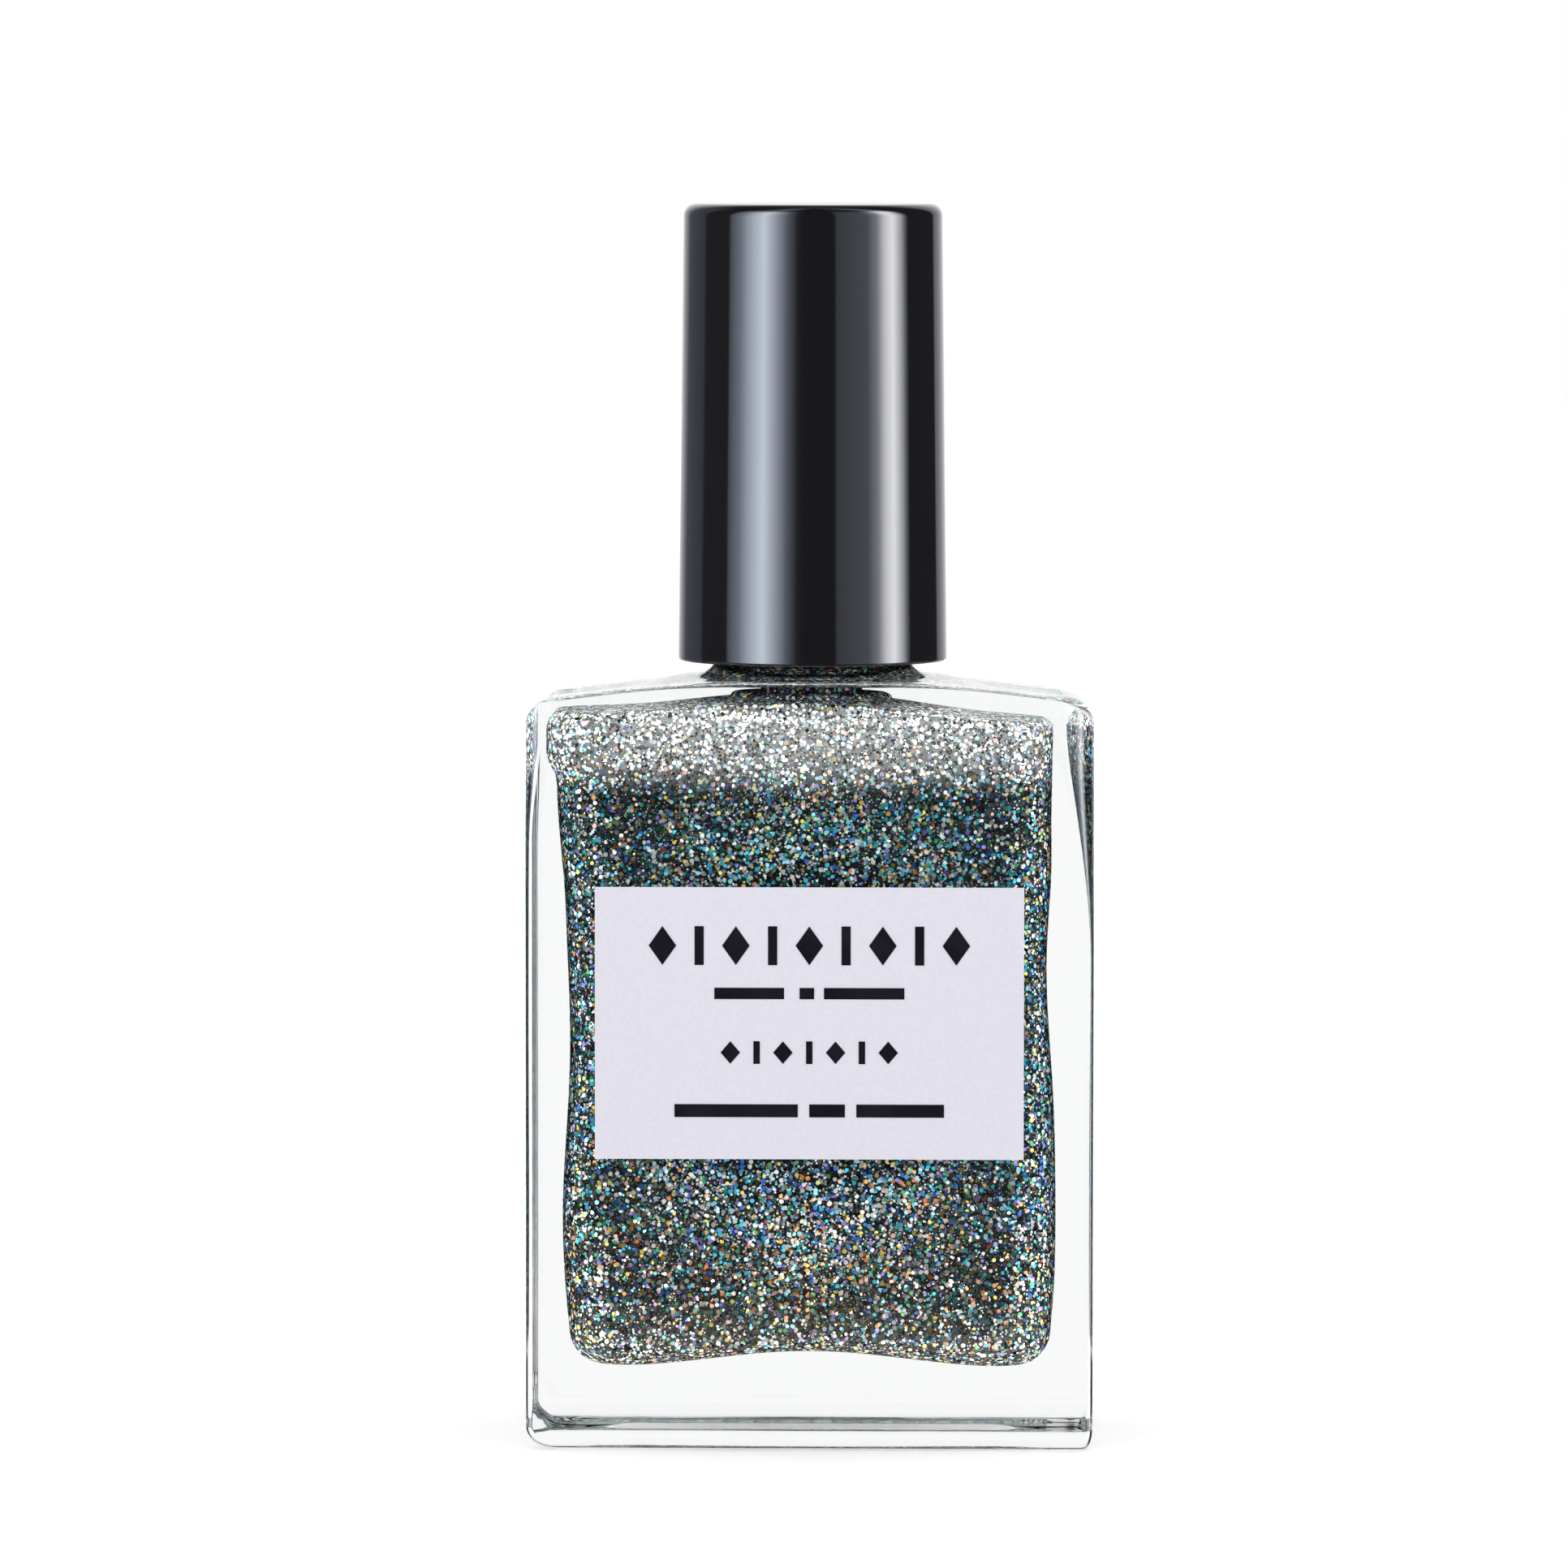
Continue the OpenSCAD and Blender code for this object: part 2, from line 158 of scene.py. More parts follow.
def perimeter(half_w, half_d, corner_r):
    """A rectangle with round corners, anticlockwise from its right side, as (n, 2).
    corner_r is one radius, or a pair for the corners on the right and on the left."""
    right, left = corner_r if isinstance(corner_r, tuple) else (corner_r, corner_r)
    sides = [
        ((half_w, right - half_d), (half_w, half_d - right), SHORT_STEPS),
        ((half_w - right, half_d), (left - half_w, half_d), LONG_STEPS),
        ((-half_w, half_d - left), (-half_w, left - half_d), SHORT_STEPS),
        ((left - half_w, -half_d), (half_w - right, -half_d), LONG_STEPS),
    ]
    corners = [(half_w - right, half_d - right, right), (left - half_w, half_d - left, left),
               (left - half_w, left - half_d, left), (half_w - right, right - half_d, right)]
    rows = []
    for k, (side, (x, y, r)) in enumerate(zip(sides, corners)):
        a, b, steps = side
        t = np.linspace(0, 1, steps, endpoint=False)[:, None]
        rows.append(np.array(a) * (1 - t) + np.array(b) * t)
        turn = np.radians(90 * (k + np.linspace(0, 1, CORNER_STEPS, endpoint=False)))
        rows.append(np.array((x, y)) + r * np.column_stack([np.cos(turn), np.sin(turn)]))
    return np.vstack(rows)


def side_share():
    """How far each point of a perimeter belongs to the ends (1) rather than to the faces (0)."""
    turn = np.linspace(0, 1, CORNER_STEPS, endpoint=False)
    ends, faces = np.ones(SHORT_STEPS), np.zeros(LONG_STEPS)
    return np.concatenate([ends, 1 - turn, faces, turn, ends, 1 - turn, faces, turn])


def directions():
    """The unit directions of the body's ring, for turning it into circles."""
    ring = perimeter(HALF_W, HALF_D, EDGE_R)
    return ring / np.linalg.norm(ring, axis=1)[:, None]


RING_DIRECTIONS = directions()
RING_ANGLES = np.arctan2(RING_DIRECTIONS[:, 1], RING_DIRECTIONS[:, 0]) % (2 * math.pi)


def level(flat, z):
    """A ring of points at a height, or at one height each."""
    return np.column_stack([flat, np.broadcast_to(z, len(flat))])


def loft(rings, start=None, end=None):
    """Vertices and faces of a skin over rings that are anticlockwise seen from above, going up.
    start and end are points that close it."""
    n = len(rings[0])
    verts = np.vstack(rings)
    faces = []
    for i in range(len(rings) - 1):
        a, b = i * n, (i + 1) * n
        faces += [(a + j, a + (j + 1) % n, b + (j + 1) % n, b + j) for j in range(n)]
    last = (len(rings) - 1) * n
    if start is not None:
        verts = np.vstack([verts, [start]])
        faces += [(len(verts) - 1, (j + 1) % n, j) for j in range(n)]
    if end is not None:
        verts = np.vstack([verts, [end]])
        faces += [(len(verts) - 1, last + j, last + (j + 1) % n) for j in range(n)]
    return verts, faces


def lathe(profile, segments):
    """Turns a closed profile of (r, z), anticlockwise in the (r, z) plane, round the Z axis."""
    turn = np.linspace(0, 2 * math.pi, segments, endpoint=False)
    circle = np.column_stack([np.cos(turn), np.sin(turn)])
    rings = [level(circle * max(r, 0), z) for r, z in profile]
    return loft(rings + rings[:1])


def add_piece(name, verts, faces, body, surface, replaces=(), weighted=True):
    """Makes a smooth-shaded mesh piece, says what it rides on, and hides the CAD nodes that it stands for."""
    mesh = bpy.data.meshes.new(name)
    mesh.from_pydata(np.asarray(verts, float).tolist(), [], faces)
    mesh.validate()
    mesh.shade_smooth()
    obj = bpy.data.objects.new(name, mesh)
    bpy.context.scene.collection.objects.link(obj)
    mesh.materials.append(surface)
    if weighted:
        normals = obj.modifiers.new("weighted_normals", "WEIGHTED_NORMAL")
        normals.weight = 80
        normals.keep_sharp = True
    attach(obj, body)
    if replaces:
        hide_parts(*replaces)
    return obj


def weld(obj, distance=1e-7):
    """Joins points that coincide, as where a lathed skin meets the axis."""
    work = bmesh.new()
    work.from_mesh(obj.data)
    bmesh.ops.remove_doubles(work, verts=work.verts, dist=distance)
    work.to_mesh(obj.data)
    work.free()


# ---------------------------------------------------------------- node materials

def principled(name, **inputs):
    """A material with one Principled shader, whose plain values are set on its own sockets."""
    surface = bpy.data.materials.new(name)
    surface.use_nodes = True
    shader = surface.node_tree.nodes["Principled BSDF"]
    for key, value in inputs.items():
        shader.inputs[key.replace("_", " ")].default_value = value
    return surface, surface.node_tree, shader


def node(tree, kind, **settings):
    made = tree.nodes.new("ShaderNode" + kind)
    for key, value in settings.items():
        setattr(made, key, value)
    return made


def math_node(tree, operation, *values):
    """A Math node over two or three sockets or plain numbers."""
    made = node(tree, "Math", operation=operation)
    for socket, value in zip(made.inputs, values):
        put(tree, socket, value)
    return made.outputs[0]


def put(tree, socket, value):
    """Links an output to a socket, or sets a plain value on it."""
    if isinstance(value, bpy.types.NodeSocket):
        tree.links.new(value, socket)
    else:
        socket.default_value = value


def mix_colour(tree, share, a, b, blend="MIX", clamp=False):
    made = node(tree, "Mix", data_type="RGBA", blend_type=blend, clamp_result=clamp)
    put(tree, made.inputs[0], share)
    put(tree, made.inputs[6], a)
    put(tree, made.inputs[7], b)
    return made.outputs[2]


def ramp(tree, value, stops, interpolation="LINEAR"):
    """A colour ramp. stops are (place, colour), and a colour may be one grey number."""
    made = node(tree, "ValToRGB")
    made.color_ramp.interpolation = interpolation
    elements = made.color_ramp.elements
    while len(elements) > 1:
        elements.remove(elements[-1])
    for i, (place, colour) in enumerate(stops):
        element = elements[0] if i == 0 else elements.new(place)
        element.position = place
        rgb = (colour,) * 3 if isinstance(colour, (int, float)) else colour
        element.color = (*rgb, 1)
    put(tree, made.inputs[0], value)
    return made.outputs[0]


def object_coords(tree):
    return node(tree, "TexCoord").outputs["Object"]


def noise(tree, scale, detail=2.0, roughness=0.5):
    made = node(tree, "TexNoise")
    made.inputs["Scale"].default_value = scale
    made.inputs["Detail"].default_value = detail
    made.inputs["Roughness"].default_value = roughness
    put(tree, made.inputs["Vector"], object_coords(tree))
    return made.outputs["Fac"]


def mottle(tree, cloud, shader, colour, darker, paler=1.0):
    """Varies a surface's colour softly between two shares of it."""
    low, high = (tuple(min(1, share * c) for c in colour) for share in (darker, paler))
    tree.links.new(ramp(tree, cloud, [(0.3, low), (0.7, high)]), shader.inputs["Base Color"])


def uneven_gloss(tree, cloud, shader, rough, spread):
    """Varies a surface's roughness by a share of it up and down."""
    stops = [(0.3, rough * (1 - spread)), (0.7, rough * (1 + spread))]
    tree.links.new(ramp(tree, cloud, stops), shader.inputs["Roughness"])


def bump(tree, shader, height, distance, strength):
    made = node(tree, "Bump")
    made.inputs["Strength"].default_value = strength
    made.inputs["Distance"].default_value = distance
    put(tree, made.inputs["Height"], height)
    tree.links.new(made.outputs["Normal"], shader.inputs["Normal"])


def glass_material():
    """Clear glass with faint waves in its surface."""
    surface, tree, shader = principled(
        "clear_flint_glass", Base_Color=(0.985, 0.995, 0.992, 1),
        Transmission_Weight=1.0, IOR=1.5, Roughness=0.0,
    )
    bump(tree, shader, noise(tree, 220, detail=1.0), 0.02 * MM, 0.5)
    return surface


# Flake colours: a share of the flakes, then a colour.
FLAKE_COLOURS = [
    (0.20, (0.80, 0.82, 0.82)), (0.11, (0.60, 0.60, 0.58)), (0.11, (0.35, 0.74, 0.86)),
    (0.12, (0.07, 0.50, 0.72)), (0.09, (0.02, 0.28, 0.30)), (0.08, (0.04, 0.14, 0.55)),
    (0.05, (0.28, 0.20, 0.62)), (0.05, (0.08, 0.38, 0.16)), (0.05, (0.78, 0.72, 0.16)),
    (0.05, (0.78, 0.48, 0.10)), (0.04, (0.75, 0.24, 0.08)), (0.05, (0.88, 0.55, 0.42)),
]


def flake_stops():
    """The flake colours as the stops of a ramp, each as wide as its share."""
    place, stops = 0.0, []
    for share, colour in FLAKE_COLOURS:
        stops.append((place, colour))
        place += share
    return stops


# How the flakes change with height, from the base (0) to the foot of the neck (1): painted light that is
# bright under the shoulder, painted shade under the neck where the cap blocks the light, a teal tint below
# the shoulder, and warm at the bottom.
FLAKE_PAINTED_LIGHT = [
    (0.0, 0.5), (0.13, 0.68), (0.22, 0.62), (0.35, 0.5), (0.68, 0.5), (0.80, 0.42), (0.855, 0.34),
    (0.89, 1.15), (0.93, 1.6), (0.962, 1.5), (0.982, 0.4), (1.0, 0.07),
]
FLAKE_TINT = [
    (0.0, (0.95, 1.0, 0.98)), (0.12, (1.12, 1.0, 0.90)), (0.26, (1.08, 0.99, 0.93)),
    (0.36, (0.95, 1.01, 1.07)), (0.60, (0.96, 1.01, 1.05)), (0.80, (0.94, 1.03, 1.03)),
    (0.88, (1.0, 1.0, 1.0)),
]
# The share of silver in the flakes by height: a painted highlight under the shoulder, where the flakes catch
# light from above, and a fainter share near the base.
FLAKE_SILVER_AND_HIGHLIGHT = [
    (0.0, 0.3), (0.10, 0.25), (0.2, 0.0), (0.85, 0.0), (0.892, 0.45), (0.96, 0.5), (0.98, 0.1), (1.0, 0.0),
]
HIGHLIGHT_FADE_ASIDE = [(0.62, 1.0), (0.85, 0.3)]  # the painted silver highlight fades towards the side walls
SILVER = (0.86, 0.86, 0.84)

# The dust between the flakes, and how bright the painted flakes are, from the dullest to the brightest
DUST = [(0.45, (0.002, 0.003, 0.0028)), (0.60, (0.02, 0.024, 0.023)), (0.72, (0.22, 0.24, 0.23))]
FINE_GLOWS = [(0.0, 0.01), (0.3, 0.05), (0.55, 0.2), (0.75, 0.7), (0.9, 1.4), (1.0, 1.8)]
MIDDLE_GLOWS = [(0.0, 0.01), (0.2, 0.06), (0.42, 0.25), (0.62, 0.8), (0.82, 1.6), (1.0, 2.0)]


def flake_layer(tree, size, radius, below, shift, silver_and_highlight, glows):
    """Paints round flakes of many colours over the colour below, each with its own brightness."""
    moved = node(tree, "VectorMath", operation="ADD")
    put(tree, moved.inputs[0], object_coords(tree))
    moved.inputs[1].default_value = (shift, 2 * shift, -shift)
    cells = node(tree, "TexVoronoi", feature="F1", voronoi_dimensions="3D")
    cells.inputs["Scale"].default_value = 1 / size
    tree.links.new(moved.outputs[0], cells.inputs["Vector"])
    parts = node(tree, "SeparateColor")
    tree.links.new(cells.outputs["Color"], parts.inputs[0])
    inside = math_node(tree, "LESS_THAN", cells.outputs["Distance"], radius)
    tint = mix_colour(tree, silver_and_highlight, ramp(tree, parts.outputs[0], flake_stops(), "CONSTANT"), (*SILVER, 1))
    lit = mix_colour(tree, 1.0, tint, ramp(tree, parts.outputs[1], glows), "MULTIPLY")
    return mix_colour(tree, inside, below, lit)


def lacquer_material():
    """Near-black green-grey lacquer with a fine dust, under holographic flakes of two sizes. Painted light
    and shade ride on their colour: a silver highlight band under the shoulder, shade under the neck and where
    the skin faces sideways.
    """
    surface, tree, shader = principled("glitter_lacquer", Roughness=0.5, Specular_IOR_Level=0.0)
    place = node(tree, "SeparateXYZ")
    tree.links.new(object_coords(tree), place.inputs[0])
    height = math_node(tree, "DIVIDE", place.outputs[2], NECK_FOOT_Z)
    aside = math_node(tree, "DIVIDE", math_node(tree, "ABSOLUTE", place.outputs[0]), HALF_W)
    # painted highlight: the silver band by height, fading towards the side walls
    band = ramp(tree, height, FLAKE_SILVER_AND_HIGHLIGHT)
    silver_and_highlight = mix_colour(tree, 1.0, band, ramp(tree, aside, HIGHLIGHT_FADE_ASIDE), "MULTIPLY")
    murk = ramp(tree, noise(tree, 18000, detail=1.0), DUST)
    # the dust between the flakes is lifted towards pale grey in the painted highlight, and the fine flakes
    # take half of its silver
    base = mix_colour(tree, math_node(tree, "MULTIPLY", silver_and_highlight, 0.9), murk, (0.30, 0.30, 0.295, 1))
    pale = mix_colour(tree, 0.5, silver_and_highlight, (0.7, 0.7, 0.7, 1))
    fine = flake_layer(tree, 0.16 * MM, 0.46, base, 0.31, pale, FINE_GLOWS)
    middle = flake_layer(tree, 0.33 * MM, 0.43, fine, 0.77, silver_and_highlight, MIDDLE_GLOWS)
    # painted shade: the skin is darkened where it faces straight sideways, at the hollow's side edges, and
    # lit up a little where it half faces sideways
    facing = node(tree, "SeparateXYZ")
    tree.links.new(node(tree, "TexCoord").outputs["Normal"], facing.inputs[0])
    sideways = math_node(tree, "ABSOLUTE", facing.outputs[0])
    painted_side_shade = ramp(tree, sideways, [(0.0, 1.0), (0.45, 1.3), (0.8, 1.3), (0.98, 0.3)])
    # painted light and shade by height and by facing, with the tint by height, multiply the flake colours
    painted_light_and_tint = mix_colour(tree, 1.0, ramp(tree, height, FLAKE_PAINTED_LIGHT), ramp(tree, height, FLAKE_TINT), "MULTIPLY")
    shade = mix_colour(tree, 1.0, painted_light_and_tint, painted_side_shade, "MULTIPLY")
    tree.links.new(mix_colour(tree, 1.0, middle, shade, "MULTIPLY", clamp=True), shader.inputs["Base Color"])
    return surface


def flake_material():
    """The flakes' own colours, with painted light and shade, which the mesh carries."""
    surface, tree, shader = principled("holographic_flake", Roughness=0.4, Specular_IOR_Level=0.0)
    tone = node(tree, "Attribute", attribute_name="flake_colour_and_light")
    tree.links.new(tone.outputs["Color"], shader.inputs["Base Color"])
    return surface


def gloss_black_material():
    """Polished black plastic with a faint haze and waviness."""
    surface, tree, shader = principled(
        "gloss_black_moulding", Base_Color=(0.008, 0.008, 0.010, 1),
        IOR=1.52, Coat_Weight=0.3, Coat_Roughness=0.02,
    )
    haze = noise(tree, 900, detail=3.0)
    tree.links.new(ramp(tree, haze, [(0.35, 0.05), (0.7, 0.085)]), shader.inputs["Roughness"])
    bump(tree, shader, noise(tree, 140, detail=1.0), 0.02 * MM, 0.25)
    return surface


def moulded_material(name, colour, rough, grain=2500, depth=0.01 * MM, **inputs):
    """Moulded plastic with a fine grain and a slightly uneven sheen."""
    surface, tree, shader = principled(name, **inputs)
    cloud = noise(tree, grain / 6, detail=3.0)
    mottle(tree, cloud, shader, colour, 0.8)
    uneven_gloss(tree, cloud, shader, rough, 0.2)
    bump(tree, shader, noise(tree, grain, detail=2.0), depth, 0.4)
    return surface


def paper_material(name, colour):
    """Coated label stock: faint fibres and a soft satin sheen."""
    surface, tree, shader = principled(name, Roughness=0.55, IOR=1.45)
    fibres = noise(tree, 5200, detail=4.0, roughness=0.65)
    mottle(tree, fibres, shader, colour, 0.96, 1.03)
    bump(tree, shader, fibres, 0.006 * MM, 0.5)
    return surface


def metal_material(name, colour, rough):
    """Bare metal with fine wear."""
    surface, tree, shader = principled(name, Metallic=1.0)
    wear = noise(tree, 4000, detail=3.0)
    mottle(tree, wear, shader, colour, 0.85)
    uneven_gloss(tree, wear, shader, rough, 0.3)
    bump(tree, shader, wear, 0.004 * MM, 0.3)
    return surface


def bristle_material():
    """Black nylon whose filaments vary a little in tone."""
    surface, tree, shader = principled("nylon_filament", Roughness=0.32, IOR=1.53, Coat_Weight=0.4)
    tones = [(0.3, (0.010, 0.010, 0.011)), (0.7, (0.045, 0.043, 0.046))]
    tree.links.new(ramp(tree, noise(tree, 3000, detail=2.0), tones), shader.inputs["Base Color"])
    return surface


# ---------------------------------------------------------------- the glass and what it holds

def thread_height(angles, z):
    """How far the helical thread stands out, from 0 to 1, at each angle of a ring at height z."""
    half_crest, half_root, fade_turns = 0.2 * MM, 0.75 * MM, 0.08
    out = np.zeros(len(angles))
    for lap in range(int(math.ceil(THREAD_TURNS)) + 1):
        wound = angles / (2 * math.pi) + lap
        fade = smooth(np.minimum(wound, THREAD_TURNS - wound), 0, fade_turns)
        off = np.abs(z - (THREAD_START + THREAD_PITCH * wound))
        out = np.maximum(out, fade * (1 - smooth(off, half_crest, half_root)))
    return out


def shoulder_height(flat):
    """Height of the shoulder's top: a low roof, smoothed where its slopes meet, that sinks towards the back.
    A fine, uneven seam of glass runs along its back edge."""
    end_slope, face_slope, face_drop, blend = 0.119, 0.03, 0.1 * MM, 0.5 * MM
    front_lift, back_sink, tilt_end = 0.25 * MM, 0.7 * MM, 9.5 * MM
    seam_h, seam_inset, seam_spread = 0.14 * MM, 0.6 * MM, 0.25 * MM
    short_wave, long_wave = 0.37 * MM, 1.1 * MM
    x, y = np.abs(flat[:, 0]), np.abs(flat[:, 1])
    along = NECK_FOOT_Z + end_slope * (ROOF_R - x)
    across = NECK_FOOT_Z + face_slope * (ROOF_R - y) - face_drop
    mix = np.clip(0.5 + 0.5 * (across - along) / blend, 0, 1)
    roof = across * (1 - mix) + along * mix - blend * mix * (1 - mix)
    tilt = front_lift - back_sink * smooth(flat[:, 1], -HALF_D, HALF_D)
    uneven = 1 + 0.5 * np.sin(flat[:, 0] / short_wave) * np.sin(flat[:, 0] / long_wave)
    seam = seam_h * uneven * hump(flat[:, 1], HALF_D - seam_inset, seam_spread)
    return roof + tilt * smooth(np.hypot(x, y), ROOF_R, tilt_end) + seam


def edge_radii(z):
    """Radii of the upright edges on the right and on the left, which widen under the shoulder."""
    growths = (RIGHT_EDGE_GROWTH, LEFT_EDGE_GROWTH)
    return tuple(EDGE_R + growth * smooth(z, low, high) for growth, low, high in growths)


def recess_rings():
    """The recess for the base label, from its middle to the flat ring that the bottle stands on."""
    half_w, half_d = BASE_LABEL_HI.x + RECESS_MARGIN, BASE_LABEL_HI.y + RECESS_MARGIN
    height = BASE_LABEL_HI.z - LABEL_SEAT
    rings = []
    for share in (0.15, 0.4, 0.7, 1.0):
        rings.append(level(perimeter(half_w * share, half_d * share, RECESS_CORNER_R * share), height))
    for t in np.linspace(0, 1, 13)[1:]:
        grow = RECESS_RAMP * t
        flat = perimeter(half_w + grow, half_d + grow, RECESS_CORNER_R + 0.4 * grow)
        steeper = 0.55 * hump(flat[:, 0], -4 * MM, 6 * MM)
        rings.append(level(flat, height * np.clip(1 - t / (1 - steeper), 0, 1)))
    return rings


def heel_rings():
    """The round heel, which is tighter on the right end than on the left one."""
    end_start, end_full = 12.5 * MM, 15.5 * MM
    rings = []
    for angle in np.radians(np.linspace(0, 90, 10)):
        inset = HEEL_R * (1 - math.sin(angle))
        flat = perimeter(HALF_W - inset, HALF_D - inset, EDGE_R)
        flat[:, 0] += 0.6 * inset * smooth(flat[:, 0], end_start, end_full)
        flat[:, 0] += 0.35 * inset * smooth(-flat[:, 0], end_start, end_full)
        rings.append(level(flat, HEEL_R * (1 - math.cos(angle))))
    return rings


def wall_rings():
    """The upright walls, and the rounding over them to the shoulder, which is wider at the ends."""
    full = perimeter(HALF_W, HALF_D, edge_radii(SHOULDER_Z))
    eave_r = FACE_EDGE_R + (SHOULDER_R - FACE_EDGE_R) * smooth(side_share())
    eave_z = shoulder_height(full) - eave_r
    rings = []
    for t in np.linspace(0, 1, 44)[1:-1]:
        flat = perimeter(HALF_W, HALF_D, edge_radii(HEEL_R + (SHOULDER_Z - HEEL_R) * t))
        rings.append(level(flat, HEEL_R + (eave_z - HEEL_R) * t))
    for angle in np.radians(np.linspace(0, 90, 12)):
        lean = 1 - math.cos(angle)
        corners = tuple(r + CORNER_SOFTENING * lean for r in edge_radii(SHOULDER_Z))
        flat = perimeter(HALF_W - SHOULDER_R * lean, HALF_D - FACE_EDGE_R * lean, corners)
        rings.append(level(flat, shoulder_height(flat) - eave_r * (1 - math.sin(angle))))
    return rings


def shoulder_rings(edge):
    """The shoulder, from the outline at its edge to the circle at the foot of the neck."""
    rings = []
    for t in np.linspace(0, 1, 26)[1:]:
        flat = edge * (1 - t) + RING_DIRECTIONS * NECK_FOOT_R * t
        foot = smooth(t, 0.55, 1.0)
        rings.append(level(flat, shoulder_height(flat) * (1 - foot) + NECK_FOOT_Z * foot))
    return rings


def neck_rings():
    """The fillet at the foot of the neck, the threaded neck, and the round outer edge of the lip."""
    rings = []
    for r, z in arc((NECK_FOOT_R, NECK_FOOT_Z + NECK_FILLET), NECK_FILLET, 270, 180, 8)[1:]:
        rings.append(level(RING_DIRECTIONS * r, z))
    for z in np.arange(NECK_FOOT_Z + NECK_FILLET, LIP_Z - LIP_ROUND, THREAD_STEP)[1:]:
        r = NECK_R + (THREAD_R - NECK_R) * thread_height(RING_ANGLES, z)
        rings.append(level(RING_DIRECTIONS * r[:, None], z))
    for r, z in arc((NECK_R - LIP_ROUND, LIP_Z - LIP_ROUND), LIP_ROUND, 0, 90, 7):
        rings.append(level(RING_DIRECTIONS * r, z))
    return rings


def outer_rings():
    """The outside of the glass from the middle of the base to the top of the neck."""
    body = recess_rings() + heel_rings() + wall_rings()
    return body + shoulder_rings(body[-1][:, :2]) + neck_rings()


def side_bulges(z):
    """How far the hollow's left and right walls stand out from straight ones at height z, in millimetres.
    Both draw in at the foot and the waist, and the left one swells at the top."""
    foot = -0.4 * hump(z, 5 * MM, 4 * MM)
    left = 0.45 * smooth(z, 33 * MM, 41 * MM) + 0.65 * smooth(z, 41.2 * MM, 42.8 * MM)
    left += 0.15 * hump(z, 15 * MM, 5 * MM) - 0.35 * hump(z, 25 * MM, 7 * MM)
    right = -0.05 - 0.6 * hump(z, 29.5 * MM, 7 * MM) - 0.25 * smooth(z, 34 * MM, 40 * MM)
    return foot + left, foot + right


def cavity_ring(z, grow, squeeze=0.0):
    """One ring of the hollow's walls, grow larger and squeeze smaller than the plain outline."""
    flat = perimeter(CAVITY_HALF_W + grow - squeeze, CAVITY_HALF_D + grow - squeeze, CAVITY_EDGE_R)
    left, right = side_bulges(z)
    side = np.clip(flat[:, 0] / CAVITY_HALF_W, -1, 1)
    flat[:, 0] += side * MM * np.where(side < 0, left, right)
    thicker_face = 0.25 * hump(z, 26 * MM, 14 * MM) * hump(flat[:, 0], 0, 11 * MM)
    flat[:, 1] -= np.sign(flat[:, 1]) * MM * thicker_face
    return level(flat, z)


def ceiling_height(flat, grow):
    """Height of the hollow's top, which sweeps up to the throat and falls a little to the right."""
    rise = CEILING_RISE * hump(np.linalg.norm(flat, axis=1), 0, CEILING_SPREAD)
    return CAVITY_CORNER_Z + grow + MM * (rise - 0.02 * flat[:, 0] / MM)


def cavity_floor_rings(grow):
    """The hollow's domed floor, from its middle to the foot of the walls."""
    floor = FLOOR_Z - grow
    rings = []
    for share in np.linspace(0.12, 1, 14):
        flat = cavity_ring(floor, grow, CAVITY_CORNER_R)[:, :2] * share
        rings.append(level(flat, floor + FLOOR_DOME * hump(flat[:, 0], 0, FLOOR_DOME_SPREAD)))
    rim_dome = rings[-1][:, 2] - floor
    for angle in np.radians(np.linspace(0, 90, 9))[1:]:
        z = floor + CAVITY_CORNER_R * (1 - math.cos(angle))
        ring = cavity_ring(z, grow, CAVITY_CORNER_R * (1 - math.sin(angle)))
        ring[:, 2] += rim_dome * math.cos(angle)
        rings.append(ring)
    return rings


def cavity_wall_rings(grow):
    """The hollow's upright walls, and the rounding at their top."""
    low = FLOOR_Z - grow + CAVITY_CORNER_R
    top = CAVITY_CORNER_Z + grow - CAVITY_EAVE_R
    rings = [cavity_ring(z, grow) for z in np.linspace(low, top, 56)[1:-1]]
    for angle in np.radians(np.linspace(0, 90, 9)):
        ring = cavity_ring(top, grow, CAVITY_EAVE_R * (1 - math.cos(angle)))
        ring[:, 2] = top + (ceiling_height(ring[:, :2], grow) - top) * math.sin(angle)
        rings.append(ring)
    return rings


def throat_rings(grow, edge):
    """The hollow's ceiling, which turns from its outline into a circle, then the throat and the bore."""
    throat, bore = THROAT_R + grow, BORE_R + grow
    rings = []
    for t in np.linspace(0, 1, 16)[1:]:
        flat = edge * (1 - t) + RING_DIRECTIONS * throat * t
        rings.append(level(flat, ceiling_height(flat, grow)))
    low = rings[-1][:, 2].mean()
    for t in np.linspace(0, 1, 10)[1:]:
        r = throat - (throat - bore) * smooth(t)
        levelled = rings[-1][:, 2] * (1 - t) + low * t
        rings.append(level(RING_DIRECTIONS * r, levelled + THROAT_STEP))
    bore_low = rings[-1][:, 2].mean() + 0.2 * MM
    for z in np.linspace(bore_low, LIP_Z - LIP_INNER_ROUND, 24):
        rings.append(level(RING_DIRECTIONS * bore, z))
    return rings


def cavity_rings(grow):
    """The hollow of the glass from the middle of its floor to its lip. grow moves it into the glass."""
    body = cavity_floor_rings(grow) + cavity_wall_rings(grow)
    return body + throat_rings(grow, body[-1][:, :2])


